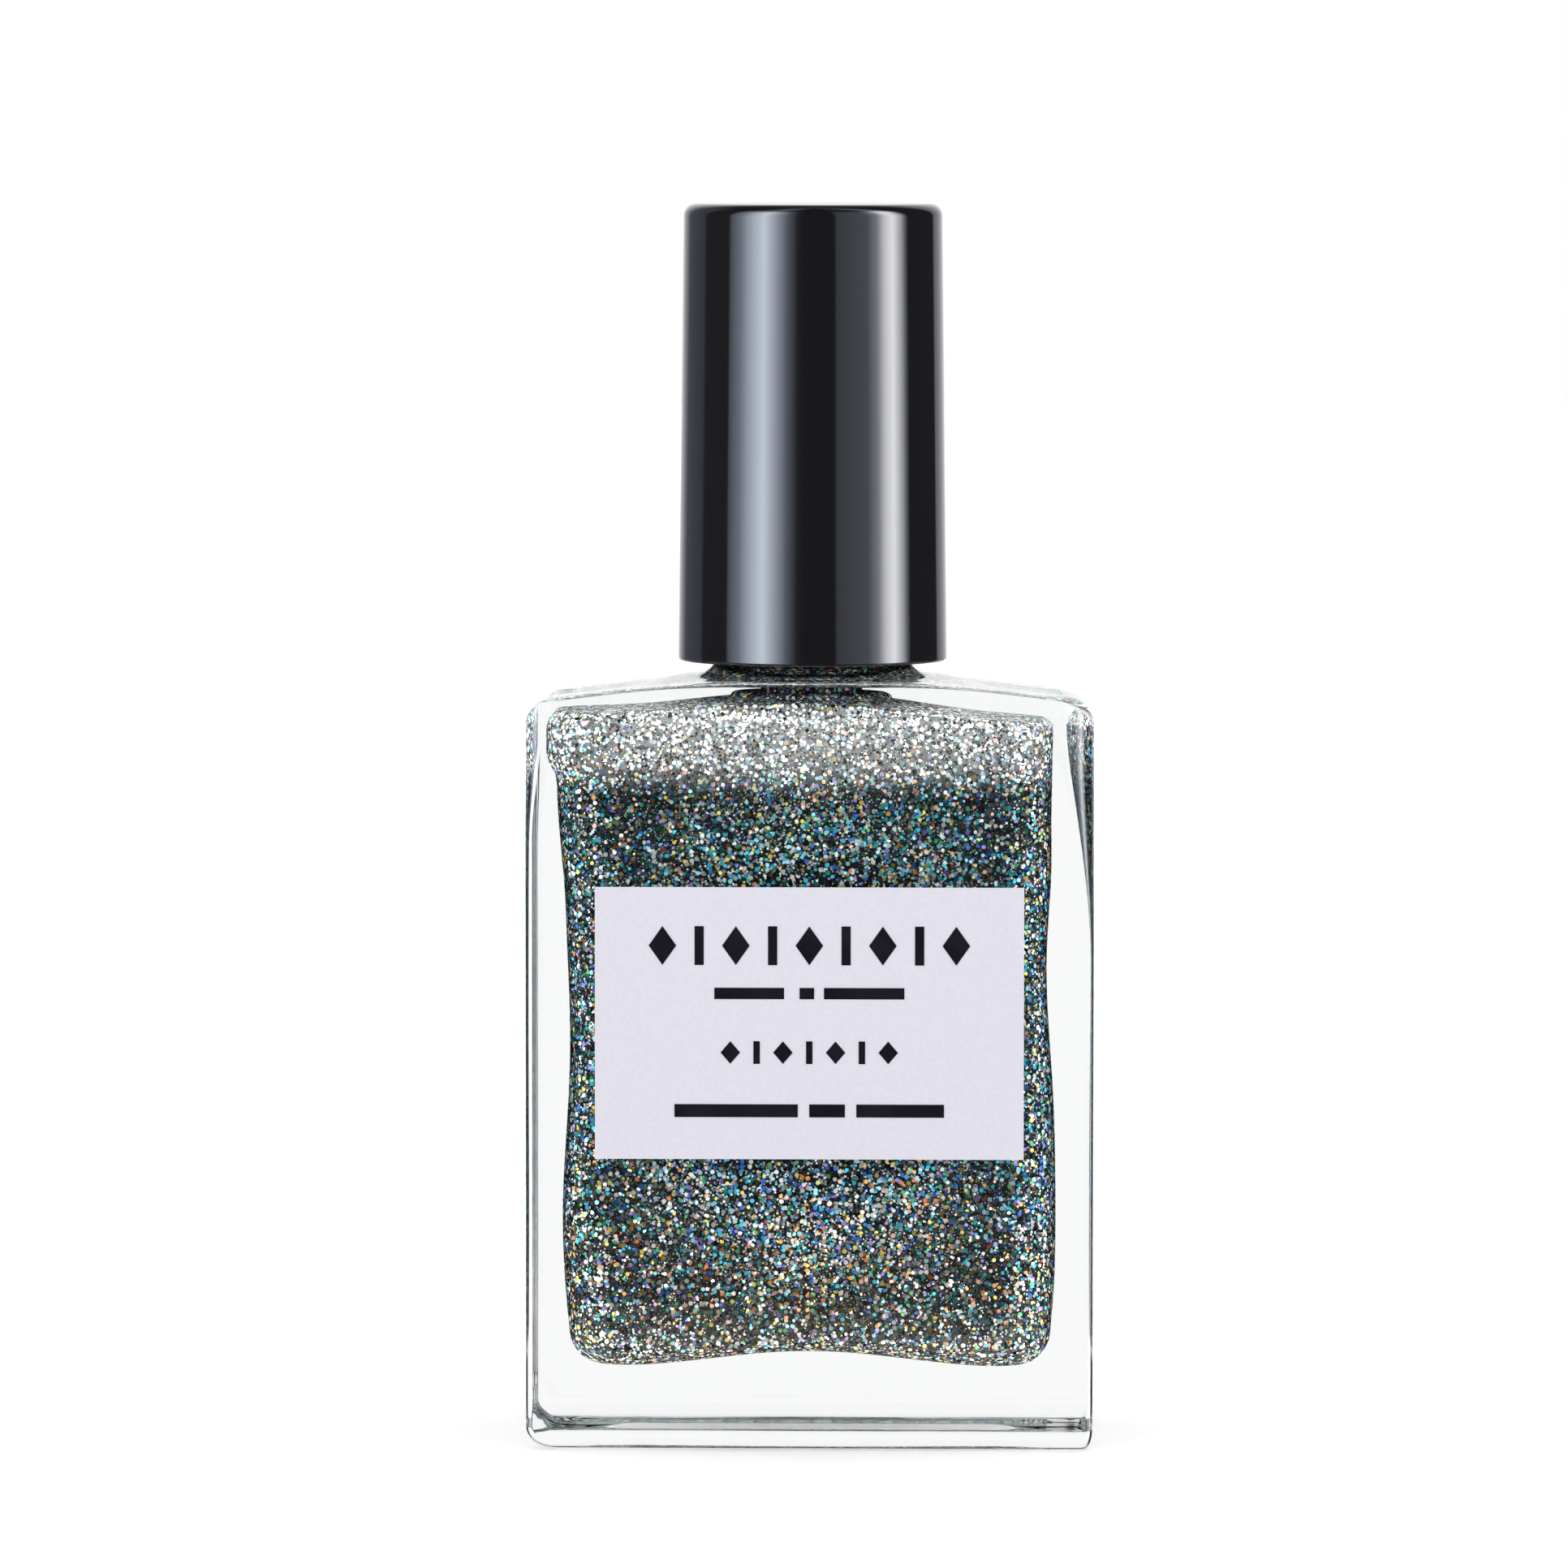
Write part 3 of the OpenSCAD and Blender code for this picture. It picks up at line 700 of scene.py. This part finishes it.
def build_glass():
    hollow = cavity_rings(0.0)
    lip_centre = (BORE_R + LIP_INNER_ROUND, LIP_Z - LIP_INNER_ROUND)
    lip = [level(RING_DIRECTIONS * r, z) for r, z in arc(lip_centre, LIP_INNER_ROUND, 90, 180, 6)]
    rings = outer_rings() + lip[:-1] + hollow[::-1]
    base = (0, 0, rings[0][0, 2])
    floor = (0, 0, hollow[0][:, 2].max())
    verts, faces = loft(rings, base, floor)
    add_piece("glass_body", verts, faces, "bottle", glass_material(), ["glass_bottle"])


def build_lacquer():
    """The liquid's skin, closed by a surface in the neck that dips a little in the middle."""
    rings = [r for r in cavity_rings(WET) if r[:, 2].max() < FILL_Z]
    top = rings[-1][:, :2]
    for share, dip in ((0.98, 0.0), (0.9, -0.12), (0.6, -0.2), (0.2, -0.22)):
        rings.append(level(top * share, FILL_Z + dip * MM))
    verts, faces = loft(rings, (0, 0, rings[0][:, 2].max()), (0, 0, rings[-1][0, 2]))
    return add_piece("lacquer_fill", verts, faces, "bottle", lacquer_material(), ["lacquer"])


def scatter(mesh, count):
    """Random places on a mesh's steep faces below the neck, each with the normal of its face."""
    mesh.calc_loop_triangles()
    points = np.array([v.co for v in mesh.vertices])
    tris = np.array([t.vertices for t in mesh.loop_triangles])
    a, b, c = points[tris[:, 0]], points[tris[:, 1]], points[tris[:, 2]]
    cross = np.cross(b - a, c - a)
    area = np.linalg.norm(cross, axis=1)
    steep = np.abs(cross[:, 2]) < 0.9 * area
    share = np.where(steep & (a[:, 2] < NECK_FOOT_Z), area, 0)
    chosen = rng.choice(len(tris), count, p=share / share.sum())
    u, v = rng.random(count), rng.random(count)
    over = u + v > 1
    u[over], v[over] = 1 - u[over], 1 - v[over]
    place = a[chosen] + u[:, None] * (b - a)[chosen] + v[:, None] * (c - a)[chosen]
    normal = cross[chosen] / area[chosen][:, None]
    return place + normal * rng.uniform(0.0, FLAKE_DEPTH, count)[:, None] * MM, normal


def flake_shapes(place, normal):
    """Thin hexagons with a low peak on both sides, each tilted, turned and sized by chance."""
    count = len(place)
    tilted = normal + rng.normal(0, FLAKE_TILT, (count, 3))
    tilted /= np.linalg.norm(tilted, axis=1)[:, None]
    side = np.cross(tilted, [0.3, 0.1, 1.0])
    side /= np.linalg.norm(side, axis=1)[:, None]
    up = np.cross(tilted, side)
    radius = rng.choice(FLAKE_RADII, count, p=FLAKE_RADIUS_SHARES) * MM
    spin = rng.uniform(0, math.pi / 3, count)
    corners = []
    for k in range(6):
        turn = spin + k * math.pi / 3
        corners.append(place + radius[:, None] * (np.cos(turn)[:, None] * side + np.sin(turn)[:, None] * up))
    peak = FLAKE_PEAK * tilted
    verts = np.stack(corners + [place + peak, place - peak], axis=1).reshape(-1, 3)
    fans = [(k, (k + 1) % 6, 6) for k in range(6)] + [((k + 1) % 6, k, 7) for k in range(6)]
    faces = (np.arange(count)[:, None, None] * 8 + np.array(fans)).reshape(-1, 3).tolist()
    return verts, faces


def flake_tones(place, normal):
    """A colour for each flake, from the same zones of height as the lacquer's own, painted light, shade and
    silver highlight included.
    """
    count = len(place)
    shares, tints = zip(*FLAKE_COLOURS)
    tint = np.array(tints)[rng.choice(len(tints), count, p=np.array(shares) / sum(shares))]
    height = place[:, 2] / NECK_FOOT_Z
    # each flake's random brightness times the painted light by height; painted shade dims flakes that face
    # sideways
    brightness_and_painted_light = (0.02 + 2.4 * rng.random(count) ** 1.7) * curve(height, *FLAKE_PAINTED_LIGHT)
    brightness_and_painted_light *= curve(np.abs(normal[:, 0]), (0.0, 1.0), (0.45, 1.3), (0.8, 1.3), (0.98, 0.35))
    tone = np.column_stack([curve(height, *[(z, rgb[i]) for z, rgb in FLAKE_TINT]) for i in range(3)])
    # painted highlight: the same silver band as the lacquer's
    silver_and_highlight = (curve(height, *FLAKE_SILVER_AND_HIGHLIGHT) * curve(np.abs(place[:, 0]) / HALF_W, *HIGHLIGHT_FADE_ASIDE))[:, None]
    tint = tint * (1 - silver_and_highlight) + np.array(SILVER) * silver_and_highlight
    return np.column_stack([np.clip(tint * tone * brightness_and_painted_light[:, None], 0.004, 0.95), np.ones(count)])


def build_flakes(lacquer, count=16000):
    """Thin hexagonal flakes over the lacquer's upright skin, each with its own tilt, and a colour that
    carries painted light and shade.
    """
    place, normal = scatter(lacquer.data, count)
    verts, faces = flake_shapes(place, normal)
    colour = flake_tones(place, normal)
    obj = add_piece("glitter_flakes", verts, faces, "bottle", flake_material(), weighted=False)
    obj.data.shade_flat()
    layer = obj.data.color_attributes.new("flake_colour_and_light", "FLOAT_COLOR", "CORNER")
    corners_each = 36
    layer.data.foreach_set("color", np.repeat(colour, corners_each, axis=0).astype(np.float32).ravel())


# ---------------------------------------------------------------- the closure

def build_outer_cap():
    """The overcap: a hollow, slightly tapered shell with a round rim and a round top edge."""
    rim_r, low, high = CAP_HI.x, CAP_LO.z, CAP_HI.z
    taper, wall, roof, edge, rim, inner_edge = 0.33 * MM, 0.8 * MM, 1.0 * MM, 0.75 * MM, 0.2 * MM, 0.5 * MM
    top_r = rim_r - taper
    wall_h = high - edge - low - rim
    profile = arc((rim_r - rim, low + rim), rim, -90, 0, 7)
    profile += [(rim_r - (rim_r - top_r) * t, low + rim + wall_h * t) for t in np.linspace(0, 1, 12)[1:-1]]
    profile += arc((top_r - edge, high - edge), edge, 0, 90, 12)
    profile += [(top_r * 0.8, high), (top_r * 0.4, high), (0.0, high), (0.0, high - roof)]
    profile += [(top_r - wall - inner_edge, high - roof), (top_r - wall, high - roof - inner_edge)]
    profile += [(rim_r - wall, low + 0.25 * MM), (rim_r - wall + 0.1 * MM, low)]
    verts, faces = lathe(profile, 192)
    surface = gloss_black_material()
    weld(add_piece("gloss_overcap", verts, faces, "closure", surface, ["outer_cap"]))


def build_stem():
    """The brush stem: a flange under the cap, a rod that narrows, and a rolled end round the bristles."""
    top, tip = STEM_HI.z, STEM_LO.z
    flange_r, flange_h, rod_r, tip_r = 5.4 * MM, 0.9 * MM, 1.7 * MM, 1.5 * MM
    spigot_r, spigot_h, socket_r, socket_h = 1.4 * MM, 3.8 * MM, 1.2 * MM, 3 * MM
    tip_round, root_round, flange_round, chamfer = 0.15 * MM, 0.4 * MM, 0.2 * MM, 0.2 * MM
    flange_top = top - spigot_h
    flange_low = flange_top - flange_h
    rod_h = flange_low - tip - 0.8 * MM
    profile = [(socket_r, tip + socket_h), (socket_r, tip + 0.1 * MM)]
    profile += arc((tip_r - tip_round, tip + tip_round), tip_round, -90, 0, 5)
    profile += [(tip_r + (rod_r - tip_r) * t, tip + 0.3 * MM + rod_h * t) for t in np.linspace(0, 1, 20)]
    profile += arc((rod_r + root_round, flange_low - root_round), root_round, 180, 90, 6)[1:]
    profile += arc((flange_r - flange_round, flange_low + flange_round), flange_round, -90, 0, 4)
    profile += arc((flange_r - flange_round, flange_top - flange_round), flange_round, 0, 90, 4)
    profile += [(spigot_r, flange_top), (spigot_r, top - chamfer), (spigot_r - chamfer, top), (0.0, top)]
    profile += [(0.0, tip + socket_h)]
    verts, faces = lathe(profile, 64)
    surface = moulded_material(
        "stem_polyethylene", (0.80, 0.80, 0.80), 0.28, Subsurface_Weight=0.3, Subsurface_Scale=0.6 * MM
    )
    weld(add_piece("brush_rod", verts, faces, "closure", surface, ["brush_stem"]))


def bristle_path(share, angle, steps):
    """One filament from the stem's socket to its cut tip: x, y, z and its radius at each step.
    share is how far out it stands in the tuft, from 0 to 1."""
    root_z, root_r, belly_r = STEM_LO.z + 1.5 * MM, 1.12 * MM, TUFT_HI.x - 0.1 * MM
    thick, belly_at = 0.045 * MM, 0.62
    reach = TUFT_LO.z + 1.3 * MM * share ** 3 + rng.uniform(0, 0.25) * MM
    drift = rng.normal(0, 0.06, 2) * MM
    t = np.linspace(0, 1, steps)
    spread = root_r + (belly_r - root_r) * np.sin(np.clip(t / belly_at, 0, 1) * math.pi / 2)
    spread = spread * (1 - 0.32 * smooth(t, 0.6, 1.0))
    x = share * spread * math.cos(angle) + drift[0] * t
    y = share * spread * math.sin(angle) + drift[1] * t
    z = root_z + (reach - root_z) * t
    return x, y, z, thick * (1 - 0.45 * smooth(t, 0.8, 1.0))


def build_bristles(count=420, sides=5, steps=9):
    """Nylon filaments that leave the stem's socket, spread to a belly and draw together at cut tips."""
    golden_turn = math.pi * (3 - math.sqrt(5))
    verts, faces = [], []
    turn = np.linspace(0, 2 * math.pi, sides, endpoint=False)
    for k in range(count):
        x, y, z, width = bristle_path(math.sqrt((k + 0.5) / count), k * golden_turn, steps)
        first = len(verts)
        for i in range(steps):
            verts += [(x[i] + width[i] * math.cos(a), y[i] + width[i] * math.sin(a), z[i]) for a in turn]
        for i in range(steps - 1):
            for j in range(sides):
                p, q = first + i * sides + j, first + i * sides + (j + 1) % sides
                faces.append((q, p, p + sides, q + sides))
        faces.append(tuple(first + j for j in range(sides)))
        faces.append(tuple(first + (steps - 1) * sides + j for j in reversed(range(sides))))
    surface = bristle_material()
    add_piece("bristles", verts, faces, "closure", surface, ["bristle_tuft"], weighted=False)


# ---------------------------------------------------------------- CAD nodes that stay

def dress(name, surface, bevel=0.0):
    """Gives a CAD node its material, and eases its edges."""
    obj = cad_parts[name]
    obj.data.materials.clear()
    obj.data.materials.append(surface)
    if bevel:
        ease = obj.modifiers.new("eased_edges", "BEVEL")
        ease.width = bevel
        ease.segments = 2
        ease.limit_method = "ANGLE"
        ease.angle_limit = math.radians(40)
        obj.modifiers.new("weighted_normals", "WEIGHTED_NORMAL").keep_sharp = True


def dress_cad_nodes():
    steel = metal_material("ball_steel", (0.72, 0.73, 0.75), 0.12)
    lavender = paper_material("lavender_label", (0.662, 0.65, 0.722))
    ink = moulded_material("raised_black_ink", (0.008, 0.007, 0.012), 0.22, Coat_Weight=0.5)
    sticker = paper_material("base_sticker", (0.82, 0.82, 0.80))
    foam = moulded_material("foam_liner", (0.85, 0.85, 0.82), 0.7, grain=9000, depth=0.03 * MM)
    inner = moulded_material("inner_cap_black", (0.035, 0.035, 0.04), 0.35)
    brass = metal_material("staple_brass", (0.75, 0.58, 0.30), 0.25)
    dress("mixing_ball_left", steel)
    dress("mixing_ball_right", steel)
    dress("front_label", lavender, PAPER_BEVEL)
    dress("label_print", ink)
    dress("base_label", sticker, PAPER_BEVEL)
    dress("seal_washer", foam, SEAL_BEVEL)
    dress("inner_cap", inner, PLASTIC_BEVEL)
    dress("cap_tower", inner, PLASTIC_BEVEL)
    dress("bristle_staple", brass)


# ---------------------------------------------------------------- studio

CAMERA_AZIMUTH = 1.2
CAMERA_ELEVATION = 4.1
CAMERA_DISTANCE = 0.6
CAMERA_TARGET = Vector((-1.78 * MM, 0, 40.6 * MM))
CAMERA_ROLL = 0.05
CAMERA_LENS = 220.5

# The studio's walls by direction round the object, in degrees: 0 is the label's side and 90 is +X.
# MIRROR is what reflections see, and THROUGH is what is seen through the glass.
MIRROR_WALLS = [
    (-180, 0.98), (-166, 0.98), (-150, (0.6, 0.63, 0.68)), (-140, (0.22, 0.24, 0.30)),
    (-112, (0.26, 0.28, 0.36)), (-108, 0.06), (-79, 0.06), (-77, (0.8, 0.95, 1.15)),
    (-66, (2.2, 2.5, 3.0)), (-54, (6.0, 6.6, 7.8)),
    (-43, (9.2, 10.2, 11.6)), (-32, (4.6, 5.1, 6.0)), (-22, (1.3, 1.5, 1.8)), (-13, (0.12, 0.13, 0.16)),
    (-7, 0.02), (20.5, 0.02), (21.5, (0.50, 0.55, 0.64)), (50, (0.9, 1.0, 1.15)), (60, (2.8, 3.0, 3.5)),
    (68, (9.0, 9.1, 9.6)), (76, (12.0, 12.0, 12.6)), (82, (7.0, 7.2, 7.6)), (90, (1.4, 1.5, 1.7)), (94, 0.03),
    (135, 0.03), (137, (0.5, 0.53, 0.58)), (150, (0.7, 0.73, 0.78)), (166, 0.98), (180, 0.98),
]
THROUGH_WALLS = [
    (-180, 1.0), (-160, 1.0), (-154, 0.03), (-112, 0.03), (-100, 0.9), (-78, 0.9), (-64, 0.05), (-38, 0.05),
    (-25, 0.8), (25, 0.8), (38, 0.05), (64, 0.05), (78, 0.9), (100, 0.9), (112, 0.03), (154, 0.03),
    (160, 1.0), (180, 1.0),
]
# The share of that light by the height it comes from: 0 is straight below, and 1 is straight above.
MIRROR_HEIGHTS = [(0.0, 0.15), (0.15, 0.22), (0.33, 0.3), (0.42, 1.0), (0.8, 1.0), (0.9, 0.15)]
THROUGH_HEIGHTS = [(0.0, 1.0), (0.78, 1.0), (0.81, 0.1), (0.88, 0.1), (0.92, 0.9)]
SOFT_LIGHT = (1.12, 1.12, 1.12, 1)
SOFT_LIGHT_THROUGH_GLASS = (3.6, 3.6, 3.6, 1)


def build_camera():
    lens = bpy.data.cameras.new("camera")
    lens.lens = CAMERA_LENS
    lens.sensor_width = 36
    lens.clip_start = 0.01
    lens.clip_end = 20
    camera = bpy.data.objects.new("camera", lens)
    bpy.context.scene.collection.objects.link(camera)
    a, e = math.radians(CAMERA_AZIMUTH), math.radians(CAMERA_ELEVATION)
    back = Vector((math.sin(a) * math.cos(e), -math.cos(a) * math.cos(e), math.sin(e)))
    camera.location = CAMERA_TARGET + back * CAMERA_DISTANCE
    camera.rotation_mode = "QUATERNION"
    roll = Quaternion(Vector((0, 0, 1)), math.radians(CAMERA_ROLL))
    camera.rotation_quaternion = (-back).to_track_quat("-Z", "Y") @ roll
    bpy.context.scene.camera = camera


def wall_of_light(tree, place, rising, walls, heights):
    """A studio wall: what stands at each direction round the object, dimmed by how high it is seen."""
    stops = [(degrees / 360 + 0.5, colour) for degrees, colour in walls]
    return mix_colour(tree, 1.0, ramp(tree, place, stops), ramp(tree, rising, heights), "MULTIPLY")


def build_world():
    """A white studio. Reflections show soft boxes with dark gaps, and the glass shows dark flags
    between white walls."""
    world = bpy.data.worlds.new("studio")
    bpy.context.scene.world = world
    world.use_nodes = True
    tree = world.node_tree
    background = tree.nodes["Background"]
    way = node(tree, "SeparateXYZ")
    tree.links.new(node(tree, "TexCoord").outputs["Generated"], way.inputs[0])
    x, y, z = way.outputs
    turn = math_node(tree, "ARCTAN2", x, math_node(tree, "MULTIPLY", y, -1.0))
    place = math_node(tree, "MULTIPLY_ADD", turn, 1 / (2 * math.pi), 0.5)
    rising = math_node(tree, "MULTIPLY_ADD", z, 0.5, 0.5)
    mirror = wall_of_light(tree, place, rising, MIRROR_WALLS, MIRROR_HEIGHTS)
    through = wall_of_light(tree, place, rising, THROUGH_WALLS, THROUGH_HEIGHTS)
    through = mix_colour(tree, ramp(tree, rising, [(0.29, 1.0), (0.37, 0.0)]), through, (0.92, 0.92, 0.92, 1))
    path = node(tree, "LightPath")
    inside = math_node(tree, "GREATER_THAN", path.outputs["Transmission Depth"], 0.5)
    bounced = math_node(tree, "GREATER_THAN", path.outputs["Diffuse Depth"], 0.5)
    mirrored = math_node(tree, "GREATER_THAN", path.outputs["Glossy Depth"], 0.5)
    soft = mix_colour(tree, path.outputs["Is Transmission Ray"], SOFT_LIGHT, SOFT_LIGHT_THROUGH_GLASS)
    hard = mix_colour(tree, inside, mirror, through)
    seen = mix_colour(tree, mirrored, through, hard)
    lit = mix_colour(tree, bounced, seen, soft)
    final = mix_colour(tree, path.outputs["Is Camera Ray"], lit, (1, 1, 1, 1))
    tree.links.new(final, background.inputs["Color"])
    background.inputs["Strength"].default_value = 1.0
    world.cycles.sampling_method = "NONE"


def build_floor():
    """A wide pale floor, left out of reflections and out of what the glass sees."""
    reach = 2.0
    corners = [(-reach, -reach, 0), (reach, -reach, 0), (reach, reach, 0), (-reach, reach, 0)]
    mesh = bpy.data.meshes.new("floor")
    mesh.from_pydata(corners, [], [(0, 1, 2, 3)])
    floor = bpy.data.objects.new("floor", mesh)
    bpy.context.scene.collection.objects.link(floor)
    surface, tree, shader = principled(
        "pale_floor", Roughness=0.9, Specular_IOR_Level=0.1,
        Emission_Color=(1, 1, 1, 1), Emission_Strength=0.1,
    )
    cloud = noise(tree, 30, detail=2.0)
    tree.links.new(ramp(tree, cloud, [(0.3, 0.985), (0.7, 1.0)]), shader.inputs["Base Color"])
    mesh.materials.append(surface)
    floor.visible_glossy = False
    floor.visible_transmission = False


def set_colours():
    view = bpy.context.scene.view_settings
    view.view_transform = "Standard"
    view.look = "None"


build_camera()
build_world()
build_floor()
set_colours()
build_glass()
lacquer = build_lacquer()
build_flakes(lacquer)
build_outer_cap()
build_stem()
build_bristles()
dress_cad_nodes()
